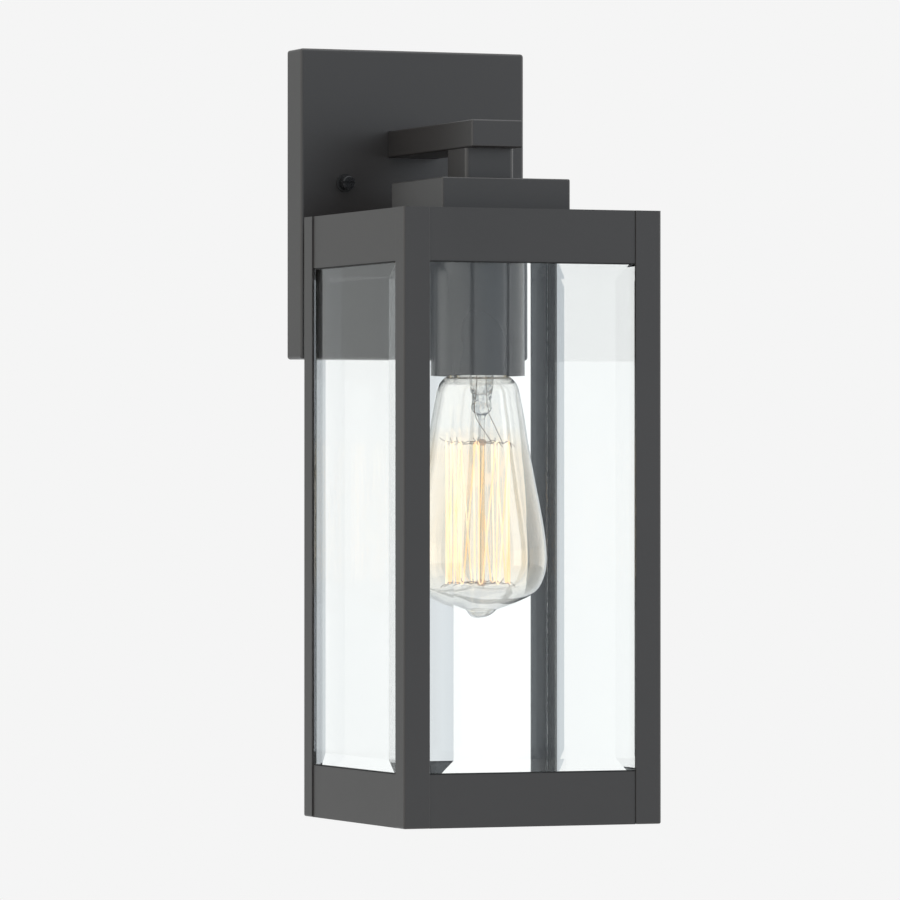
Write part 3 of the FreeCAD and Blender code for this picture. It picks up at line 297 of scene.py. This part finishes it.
def bulb_glass():
    """Blown glass: drawn-out waves down its length, and a painted glow from the filament, an orange tint round the
    filament.
    """
    paint = Paint("bulb_glass")
    height = paint.add("SeparateXYZ", {0: paint.place}).outputs["Z"]
    # Painted glow: the glass is tinted orange over the band the filament lights, standing in for its light.
    upper = paint.spread(height, 1.0, 0.0, HOOKS_UPPER - 6 * MM, HOOKS_UPPER + 8 * MM)
    lower = paint.spread(height, 0.0, 1.0, HOOKS_LOWER - 6 * MM, HOOKS_LOWER + 10 * MM)
    painted_glow = paint.add("Math", {0: upper, 1: lower}, operation="MULTIPLY").outputs[0]
    cloud = paint.add("Math", {0: painted_glow, 1: paint.spread(paint.noise(60.0), 0.7, 1.0)}, operation="MULTIPLY")
    colour = paint.blend(cloud.outputs[0], (0.975, 0.972, 0.955), (1.0, 0.925, 0.810), 0.0, 1.0)
    relief = paint.bump(paint.noise(190.0, 1.0, (1.0, 1.0, 0.06)), 0.035 * MM)
    shader = paint.add("BsdfPrincipled", {"Base Color": colour, "Roughness": 0.0, "IOR": 1.45,
                                          "Transmission Weight": 1.0, "Normal": relief,
                                          "Coat Weight": 1.0, "Coat Roughness": 0.02, "Coat IOR": 1.9})
    paint.clear_to_lamps(shader)
    return paint.material


def ground_glass_and_highlight():
    """The ends of the panes, ground pale and a little unevenly; the pale colour is also a painted highlight on these
    edges.
    """
    paint = Paint("ground_glass_and_highlight")
    chips = paint.noise(900.0, 3.0, (1.0, 1.0, 0.35))
    # Painted highlight: the pale colour also stands in for the bright line these pane edges catch.
    colour = paint.blend(chips, (0.30, 0.42, 0.42), (0.96, 0.98, 0.97), 0.38, 0.50)
    paint.principled({"Base Color": colour, "Roughness": paint.spread(chips, 0.35, 0.6),
                      "Normal": paint.bump(chips, 0.03 * MM)})
    return paint.material


def stem_glass():
    """The softer, clearer glass of the mount, with a painted glow from the filament, an orange tint round the rod.
    """
    paint = Paint("stem_glass")
    height = paint.add("SeparateXYZ", {0: paint.place}).outputs["Z"]
    # Painted glow: the rod's glass is tinted orange below the upper hooks, standing in for the filament's light.
    painted_glow = paint.spread(height, 1.0, 0.0, HOOKS_UPPER - 4 * MM, HOOKS_UPPER + 2 * MM)
    uneven = paint.add("Math", {0: painted_glow, 1: paint.spread(paint.noise(90.0), 0.7, 1.0)}, operation="MULTIPLY")
    colour = paint.blend(uneven.outputs[0], (0.99, 0.99, 0.98), (1.0, 0.80, 0.50), 0.0, 1.0)
    relief = paint.bump(paint.noise(900.0, 2.0), 0.05 * MM)
    shader = paint.add("BsdfPrincipled", {"Base Color": colour, "Roughness": 0.02, "IOR": 1.16,
                                          "Transmission Weight": 1.0, "Normal": relief})
    paint.clear_to_lamps(shader)
    return paint.material


def metal(name, low, high, rough, scale=1500.0, depth=0.01, stretch=(1.0, 1.0, 1.0)):
    """Bare or plated metal, with a fine grain that may run one way."""
    paint = Paint(name)
    grain = paint.noise(scale, 4.0, stretch)
    colour = paint.blend(paint.noise(120.0, 3.0), low, high)
    paint.principled({"Base Color": colour, "Metallic": 1.0, "Roughness": paint.spread(grain, *rough),
                      "Normal": paint.bump(grain, depth * MM)})
    return paint.material


def dull(name, low, high, rough, scale=1200.0, depth=0.02, coat=0.0):
    """A moulded, glazed or insulated surface."""
    paint = Paint(name)
    grain = paint.noise(scale, 3.0)
    colour = paint.blend(paint.noise(90.0, 3.0), low, high)
    paint.principled({"Base Color": colour, "Roughness": paint.spread(grain, *rough),
                      "Normal": paint.bump(grain, depth * MM), "Coat Weight": coat})
    return paint.material


def filament():
    """Carbon thread at working heat: hotter and paler in places along its length."""
    paint = Paint("filament")
    heat = paint.noise(150.0, 3.0, (1.0, 1.0, 0.2))
    glow = paint.blend(heat, (1.0, 0.60, 0.26), (1.0, 0.88, 0.64), 0.35, 0.62)
    paint.principled({"Base Color": (0.02, 0.015, 0.01), "Roughness": 0.6, "Emission Color": glow,
                      "Emission Strength": 1.55})
    return paint.material


FINISHES = {
    "charcoal_paint": charcoal_paint(),
    "smooth_charcoal": smooth_charcoal(),
    "black_nuts": black_nuts(),
    "pane_glass": pane_glass(),
    "bulb_glass": bulb_glass(),
    "ground_glass_and_highlight": ground_glass_and_highlight(),
    "zinc_steel": metal("zinc_steel", (0.52, 0.53, 0.55), (0.66, 0.66, 0.67), (0.28, 0.42)),
    "green_steel": dull("green_steel", (0.02, 0.16, 0.05), (0.03, 0.22, 0.07), (0.3, 0.45), coat=0.4),
    "rubber": dull("rubber", (0.012, 0.012, 0.012), (0.022, 0.022, 0.022), (0.7, 0.85), depth=0.05),
    "porcelain": dull("porcelain", (0.72, 0.70, 0.65), (0.80, 0.78, 0.74), (0.10, 0.2), 300.0, 0.01, 0.6),
    "brass": metal("brass", (0.62, 0.45, 0.18), (0.75, 0.58, 0.27), (0.18, 0.32)),
    "solder": metal("solder", (0.42, 0.42, 0.43), (0.58, 0.58, 0.6), (0.35, 0.5), 800.0, 0.04),
    "black_glass": dull("black_glass", (0.006, 0.006, 0.008), (0.012, 0.012, 0.014), (0.05, 0.1), 200.0, 0.005),
    "filament": filament(),
    # The beads' peach colour is painted glow: the filament's light laid into their colour.
    "filament_lit_bead": dull("filament_lit_bead", (0.85, 0.52, 0.30), (0.95, 0.70, 0.46), (0.08, 0.2), 700.0, 0.02, 0.6),
    "stem_glass": stem_glass(),
    "support_wire": metal("support_wire", (0.22, 0.16, 0.11), (0.38, 0.29, 0.21), (0.3, 0.45), 2500.0),
    "black_insulation": dull("black_insulation", (0.014, 0.014, 0.014), (0.02, 0.02, 0.02), (0.35, 0.5)),
    "white_insulation": dull("white_insulation", (0.72, 0.72, 0.70), (0.8, 0.8, 0.78), (0.35, 0.5)),
    "green_insulation": dull("green_insulation", (0.02, 0.20, 0.06), (0.03, 0.26, 0.08), (0.35, 0.5)),
    "connector_plastic": dull("connector_plastic", (0.70, 0.20, 0.02), (0.80, 0.26, 0.03), (0.35, 0.5)),
}


OWN_FINISH = {"socket_cover": "smooth_charcoal"}


def finish_frame():
    """Give every CAD node its own finish, or the finish of its slot in the record."""
    for part in frame["record"]["subparts"]:
        thing = NODES[part["node"]]
        thing.data.materials.clear()
        thing.data.materials.append(FINISHES[OWN_FINISH.get(part["node"], part["material_slot"])])


# ---------------------------------------------------------------- pieces

def add_piece(name, mesh, body, finish, replaced=None):
    thing = bpy.data.objects.new(name, mesh)
    bpy.context.scene.collection.objects.link(thing)
    mesh.materials.append(FINISHES[finish])
    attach(thing, body)
    if replaced is not None:
        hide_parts(replaced)
    return thing


def smooth_line(points, steps):
    """A smooth line through (radius, depth) points, with so many steps from each one to the next."""
    line = []
    for index in range(len(points) - 1):
        before = Vector(points[max(index - 1, 0)])
        start = Vector(points[index])
        end = Vector(points[index + 1])
        after = Vector(points[min(index + 2, len(points) - 1)])
        for step in range(steps):
            share = step / steps
            leave = (end - before) / 2
            arrive = (after - start) / 2
            line.append(
                start * (2 * share ** 3 - 3 * share ** 2 + 1) + leave * (share ** 3 - 2 * share ** 2 + share)
                + end * (3 * share ** 2 - 2 * share ** 3) + arrive * (share ** 3 - share ** 2)
            )
    line.append(Vector(points[-1]))
    return line


def lamp_point(x, y, depth):
    """A point given in millimetres from the lamp's axis and down from its contact."""
    return Vector((LAMP_AXIS.x + x * MM, LAMP_AXIS.y + y * MM, LAMP_TOP - depth * MM))


def turned_mesh(name, outline, shape, closed=True, segments=96):
    """Turn an outline of (radius, depth) about the lamp's axis. shape(x, y, depth) may move each point."""
    mesh = bpy.data.meshes.new(name)
    net = bmesh.new()
    rings = []
    for radius, depth in outline:
        if radius < 1e-4:
            rings.append([net.verts.new(lamp_point(*shape(0.0, 0.0, depth)))])
            continue
        ring = []
        for segment in range(segments):
            angle = 2 * math.pi * segment / segments
            ring.append(net.verts.new(lamp_point(*shape(radius * math.cos(angle), radius * math.sin(angle), depth))))
        rings.append(ring)
    pairs = list(zip(rings, rings[1:]))
    if closed:
        pairs.append((rings[-1], rings[0]))
    for upper, lower in pairs:
        if len(upper) == 1 and len(lower) == 1:
            continue
        for segment in range(segments):
            after = (segment + 1) % segments
            corners = [upper[segment % len(upper)], lower[segment % len(lower)],
                       lower[after % len(lower)], upper[after % len(upper)]]
            net.faces.new(list(dict.fromkeys(corners)))
    bmesh.ops.recalc_face_normals(net, faces=net.faces)
    for face in net.faces:
        face.smooth = True
    net.to_mesh(mesh)
    net.free()
    return mesh


def wire_piece(name, runs, radius, finish, replaced, cyclic=False, order=3):
    """Round wires of one radius, each a smooth line near its points."""
    data = bpy.data.curves.new(name, "CURVE")
    data.dimensions = "3D"
    data.bevel_depth = radius
    data.bevel_resolution = 3
    data.resolution_u = 6
    data.use_fill_caps = not cyclic
    for run in runs:
        spline = data.splines.new("NURBS")
        spline.points.add(len(run) - 1)
        for point, place in zip(spline.points, run):
            point.co = (*place, 1.0)
        spline.order_u = order
        spline.use_endpoint_u = not cyclic
        spline.use_cyclic_u = cyclic
    curve = bpy.data.objects.new(name + "_lines", data)
    mesh = bpy.data.meshes.new_from_object(curve)
    mesh.name = name
    bpy.data.objects.remove(curve)
    for face in mesh.polygons:
        face.use_smooth = True
    return add_piece(name, mesh, "bulb", finish, replaced)


# Radius and depth below the contact, in millimetres: neck, shoulder, long flank, belly and sealed end.
ENVELOPE = [
    (11.5, 17.0), (11.5, 22.0), (11.6, 26.2), (12.4, 27.6), (14.3, 29.1), (16.2, 31.4), (17.4, 34.6),
    (18.1, 38.5), (18.9, 42.5), (19.9, 48.0), (21.1, 56.0), (22.5, 64.0), (23.9, 71.0), (25.4, 79.0), (27.5, 90.0),
    (29.4, 101.5), (30.2, 111.6), (29.3, 119.6), (25.3, 127.4), (16.6, 132.4), (9.6, 135.0), (7.2, 136.0),
    (5.6, 137.8), (3.4, 139.2), (0.0, 139.9),
]
ENVELOPE_WALL = 0.65
TIP_LEAN = -1.5
TIP_START = 133.0


def make_envelope():
    outer = smooth_line(ENVELOPE, 4)
    inner = []
    for index, point in enumerate(outer[1:-1], start=1):
        along = (outer[index + 1] - outer[index - 1]).normalized()
        inner.append(Vector((max(point.x - along.y * ENVELOPE_WALL, 0.3), point.y + along.x * ENVELOPE_WALL)))
    inner.append(Vector((0.0, outer[-1].y - ENVELOPE_WALL)))
    outline = [tuple(point) for point in outer] + [tuple(point) for point in reversed(inner)]

    def lean(x, y, depth):
        share = max(0.0, min(1.0, (depth - TIP_START) / (LAMP_LENGTH - TIP_START)))
        uneven = noise.noise(Vector((x, y, depth)) * 0.25) * 0.12 * share
        return x + TIP_LEAN * share ** 2 + uneven, y + uneven, depth

    add_piece("lamp_envelope", turned_mesh("lamp_envelope", outline, lean), "bulb",
              "bulb_glass", "bulb_glass")


LAMP_LENGTH = (LAMP_TOP - LAMP_BOX[0][2]) / MM

# The mount: outside down to the press and the rod, then its hollow from the press back up to the flare.
MOUNT_OUTSIDE = [
    (10.4, 17.3), (9.6, 19.0), (7.2, 21.8), (5.9, 25.5), (5.6, 30.0), (5.4, 33.0), (4.9, 35.5), (4.4, 38.0),
    (4.5, 40.5), (4.8, 42.5), (4.0, 44.3), (2.4, 45.6), (1.6, 47.5), (1.45, 52.0), (1.45, 85.0), (1.45, 120.0),
    (1.2, 124.0), (0.0, 124.6),
]
MOUNT_HOLLOW = [
    (0.0, 36.0), (2.4, 35.4), (4.1, 33.0), (4.7, 30.0), (5.0, 25.5), (6.4, 21.4), (8.9, 18.6), (9.8, 17.3),
]
PRESS_START = 31.0
PRESS_MIDDLE = 39.0
PRESS_END = 46.5
PRESS_THIN = 0.5
CRINKLE = 0.95


def make_mount():
    def pressed(x, y, depth):
        if depth <= PRESS_START or depth >= PRESS_END:
            return x, y, depth
        reach = PRESS_MIDDLE - PRESS_START if depth < PRESS_MIDDLE else PRESS_END - PRESS_MIDDLE
        share = 1.0 - abs(depth - PRESS_MIDDLE) / reach
        share = share * share * (3 - 2 * share)
        spot = Vector((x, y, depth))
        bump = (noise.noise_vector(spot * 0.8) + noise.noise_vector(spot * 2.1) * 0.4) * CRINKLE * share
        return x + bump.x, y * (1 - (1 - PRESS_THIN) * share) + bump.y, depth + bump.z

    outline = [tuple(point) for point in smooth_line(MOUNT_OUTSIDE, 6) + smooth_line(MOUNT_HOLLOW, 4)]
    add_piece("lamp_mount", turned_mesh("lamp_mount", outline, pressed, segments=48), "bulb",
              "stem_glass", "bulb_stem")


BEAD = [(0.0, -1.5), (1.4, -1.4), (2.1, -0.8), (2.3, 0.0), (2.0, 0.9), (1.3, 1.5), (0.0, 1.6)]


def make_beads(upper, lower):
    """The two beads on the rod that the hooks are set in."""
    for word, middle in (("upper", upper), ("lower", lower)):
        outline = [(radius, middle + rise) for radius, rise in smooth_line(BEAD, 3)]

        def same(x, y, depth):
            return x, y, depth

        mesh = turned_mesh(f"hook_bead_{word}", outline, same, closed=False, segments=32)
        add_piece(f"hook_bead_{word}", mesh, "bulb", "filament_lit_bead")


HOOKS = 9
HOOK_REACH = 13.0
HOOK_WIRE = 0.17
STRAND_WIRE = 0.36
STRAND_TURN = 0.9
LOWER_RING_TURN = 0.12


def make_hooks(upper, lower):
    """Nine wavy wires in each ring, every one ending in a small curl that holds the filament."""
    draw = random.Random(5)
    runs = []
    for ring, shift in ((upper, 0.0), (lower, LOWER_RING_TURN)):
        for number in range(HOOKS):
            angle = (number + shift) * 2 * math.pi / HOOKS + draw.uniform(-0.05, 0.05)
            run = []
            for step, reach in enumerate((1.2, 3.5, 5.5, 7.5, 9.5, 11.3, 12.6, HOOK_REACH + 0.7)):
                rise = draw.uniform(-1.0, 1.0) if step else 0.0
                run.append((angle, reach, ring + rise))
            curl = 1.0 if draw.random() < 0.5 else -1.0
            run.append((angle + 0.03, HOOK_REACH + 2.2, ring - curl * 1.2))
            run.append((angle + 0.06, HOOK_REACH + 2.9, ring - curl * 2.3))
            runs.append([lamp_point(reach * math.cos(turn), reach * math.sin(turn), depth)
                         for turn, reach, depth in run])
    wire_piece("lamp_hooks", runs, HOOK_WIRE * MM, "support_wire", "bulb_hooks", order=4)


def make_strands(upper, lower):
    """One thread that zigzags down and up round the cage, looped over every hook."""
    draw = random.Random(11)
    run = []
    for number in range(HOOKS * 2):
        ring, way, shift = (upper, 1.0, 0.0) if number % 2 == 0 else (lower, -1.0, LOWER_RING_TURN)
        angle = (number // 2 + shift) * 2 * math.pi / HOOKS + draw.uniform(-0.035, 0.035)
        aside = STRAND_TURN / HOOK_REACH
        for turn, reach, depth in ((-aside, HOOK_REACH, way * 2.2), (-aside, HOOK_REACH, way * 0.6),
                                   (0.0, HOOK_REACH + 0.3, -way * 0.7),
                                   (aside, HOOK_REACH, way * 0.6), (aside, HOOK_REACH, way * 2.2)):
            run.append(lamp_point(reach * math.cos(angle + turn), reach * math.sin(angle + turn), ring + depth))
    wire_piece("lamp_strands", [run], STRAND_WIRE * MM, "filament", "bulb_filament", cyclic=True)


def make_lamp_leads(upper):
    """Two lead wires: down the hollow mount, through the press and slanting out to the filament's ends."""
    left = [(-2.2, 0.0, 5.0), (-2.3, 0.1, 24.0), (-2.4, 0.2, 36.0), (-4.2, -0.8, 41.5), (-3.9, -1.8, 46.0),
            (-3.0, -2.0, 48.5), (0.5, -3.4, 54.0), (3.2, -4.8, upper + 0.2)]
    right = [(2.2, 0.0, 5.0), (2.3, 0.1, 24.0), (2.4, 0.2, 36.0), (2.4, -0.8, 42.0), (2.9, -1.4, 45.0),
             (6.2, -2.6, 52.0), (9.4, -3.6, upper + 0.9)]
    runs = [[lamp_point(*point) for point in run] for run in (left, right)]
    wire_piece("lamp_leads", runs, 0.2 * MM, "support_wire", "bulb_leads", order=3)


# The glazing strip: a thin dark line between the glass and the rails.
STRIP_SHOWS = 0.6 * MM
STRIP_BEHIND = 1.4 * MM


def make_glazing():
    """Two straight strips in each opening, under the top rail and on the bottom rail, in front of the bevel."""
    rail_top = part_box("rail_top_front")
    rail_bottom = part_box("rail_bottom_front")
    ends = (rail_top[0][0] - LAMP_AXIS.x, rail_top[1][0] - LAMP_AXIS.x)
    front = rail_top[0][1] - LAMP_AXIS.y + STRIP_SHOWS / 2
    section = [(0.0, 0.0), (STRIP_SHOWS * 0.7, 0.0), (STRIP_SHOWS, STRIP_SHOWS / 2),
               (STRIP_SHOWS, STRIP_BEHIND), (0.0, STRIP_BEHIND)]
    for turn, side in enumerate(("front", "right", "back", "left")):
        mesh = bpy.data.meshes.new(f"glazing_strip_{side}")
        net = bmesh.new()
        spin = Matrix.Translation(LAMP_AXIS) @ Matrix.Rotation(turn * math.pi / 2, 4, "Z")
        for level, way in ((rail_top[0][2], -1.0), (rail_bottom[1][2], 1.0)):
            loops = [[net.verts.new(spin @ Vector((end, front + depth, level + way * rise)))
                      for rise, depth in section] for end in ends]
            for corner in range(len(section)):
                after = (corner + 1) % len(section)
                net.faces.new([loops[0][corner], loops[0][after], loops[1][after], loops[1][corner]])
            for loop in loops:
                net.faces.new(loop)
        bmesh.ops.recalc_face_normals(net, faces=net.faces)
        net.to_mesh(mesh)
        net.free()
        add_piece(f"glazing_strip_{side}", mesh, "lantern", "rubber")


# The ground ends of the panes: a pale skin, partly a painted highlight, on the part of each end that the bevel
# leaves, with chipped edges.
GROUND_SKIN = 0.12 * MM
GROUND_CLEAR = 0.02 * MM
GROUND_WIDTH = 2.3 * MM
CHIP_STEPS = 240
CHIP_DEPTH = 0.9 * MM
CHIPS_PER_METRE = 700.0


def make_pane_ends():
    """The two upright ends of each pane, ground pale with a painted highlight, which show as fine pale lines in the
    corners.
    """
    for side in ("front", "right", "back", "left"):
        low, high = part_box(f"glass_{side}")
        along = 0 if high[0] - low[0] > high[1] - low[1] else 1
        through = 1 - along
        inner = low[through] if low[through] > LAMP_AXIS[through] else high[through]
        outward = math.copysign(1.0, inner - LAMP_AXIS[through])
        mesh = bpy.data.meshes.new(f"pane_ends_{side}")
        net = bmesh.new()
        for end, way in ((low[along], -1.0), (high[along], 1.0)):
            near = end + way * GROUND_CLEAR
            far = near + way * GROUND_SKIN
            rings = []
            for step in range(CHIP_STEPS + 1):
                level = low[2] + (high[2] - low[2]) * step / CHIP_STEPS
                chips = [abs(noise.noise(Vector((end, line, level)) * CHIPS_PER_METRE)) * CHIP_DEPTH
                         for line in (inner, inner + outward * GROUND_WIDTH)]
                inside = inner + outward * chips[0]
                outside = inner + outward * (GROUND_WIDTH - chips[1])
                ring = []
                for across, depth in ((near, inside), (near, outside), (far, outside), (far, inside)):
                    place = Vector((0.0, 0.0, level))
                    place[along] = across
                    place[through] = depth
                    ring.append(net.verts.new(place))
                rings.append(ring)
            for lower, upper in zip(rings, rings[1:]):
                for corner in range(4):
                    after = (corner + 1) % 4
                    net.faces.new([lower[corner], lower[after], upper[after], upper[corner]])
            net.faces.new(rings[0])
            net.faces.new(rings[-1])
        bmesh.ops.recalc_face_normals(net, faces=net.faces)
        net.to_mesh(mesh)
        net.free()
        add_piece(f"pane_ends_{side}", mesh, "lantern", "ground_glass_and_highlight")


def make_lamp():
    upper = (LAMP_TOP - HOOKS_UPPER) / MM
    lower = (LAMP_TOP - HOOKS_LOWER) / MM
    make_envelope()
    make_mount()
    make_beads(upper, lower)
    make_hooks(upper, lower)
    make_strands(upper, lower)
    make_lamp_leads(upper)


# ---------------------------------------------------------------- put together

def make_lights():
    middle = (cad_box[0][2] + cad_box[1][2]) / 2
    aim = (0.0, -0.1, middle)
    make_softbox("key", (2.0, -1.7, middle + 0.4), aim, 1.4, 1.8, 5.0)
    make_softbox("top", (0.2, -0.6, middle + 2.0), aim, 1.4, 1.4, 7.0)


bpy.context.scene.view_settings.view_transform = "Standard"
make_camera()
make_world()
make_floor()
make_lights()
finish_frame()
make_lamp()
make_glazing()
make_pane_ends()
